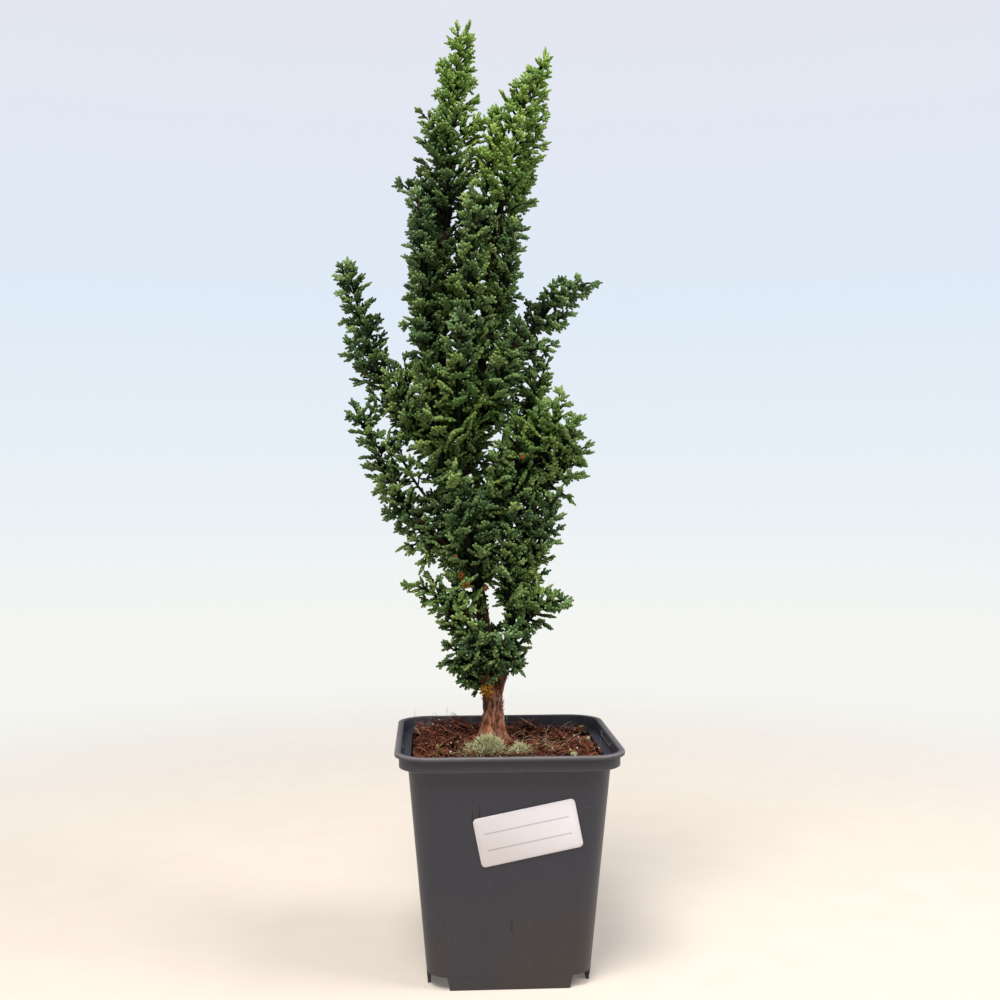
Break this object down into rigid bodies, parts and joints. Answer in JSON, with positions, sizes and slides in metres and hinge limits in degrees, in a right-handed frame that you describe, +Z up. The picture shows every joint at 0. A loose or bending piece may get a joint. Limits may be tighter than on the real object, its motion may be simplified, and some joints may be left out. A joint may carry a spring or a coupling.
{
  "type": "hinoki cypress bonsai in square nursery pot",
  "caption": "Young upright hinoki cypress with dense fan-shaped sprays, growing in soil in a tapered square plastic pot.",
  "frame": {"origin": "middle of the pot's underside, on the flat foot of its middle boss", "axes": "+Z up along the pot and the tree, -Y out of the pot's front face, which carries the label, +X to the right as seen from the front"},
  "size_m": [0.1176, 0.09, 0.391],
  "materials": {
    "plastic": "satin",
    "paper": "satin",
    "soil": "matte",
    "bark": "matte",
    "foliage": "matte"
  },
  "bodies": {
    "root": {"branch_left_drop": "foliage", "branch_left_foot": "foliage", "branch_left_high": "foliage", "branch_left_high_base": "foliage", "branch_left_low": "foliage", "branch_left_low_base": "foliage", "branch_right_high": "foliage", "branch_right_low": "foliage", "clump_right_back": "foliage", "clump_right_inner": "foliage", "clump_right_low": "foliage", "clump_right_side": "foliage", "clump_right_top": "foliage", "column_back": "foliage", "column_front": "foliage", "column_left": "foliage", "column_left_back": "foliage", "column_right": "foliage", "column_right_back": "foliage", "label": "paper", "leader_left_back": "foliage", "leader_left_side": "foliage", "leader_left_top": "foliage", "leader_right_back": "foliage", "leader_right_left": "foliage", "leader_right_top": "foliage", "low_back_left": "foliage", "low_back_right": "foliage", "low_front_left": "foliage", "low_front_right": "foliage", "low_right_back": "foliage", "low_right_inner": "foliage", "middle_back": "foliage", "middle_front": "foliage", "middle_left_back": "foliage", "middle_left_front": "foliage", "middle_right_back": "foliage", "middle_right_front": "foliage", "pot": "plastic", "skirt_back": "foliage", "skirt_front": "foliage", "skirt_front_left": "foliage", "skirt_left": "foliage", "skirt_right": "foliage", "soil": "soil", "wood": "bark"}
  },
  "joints": []
}
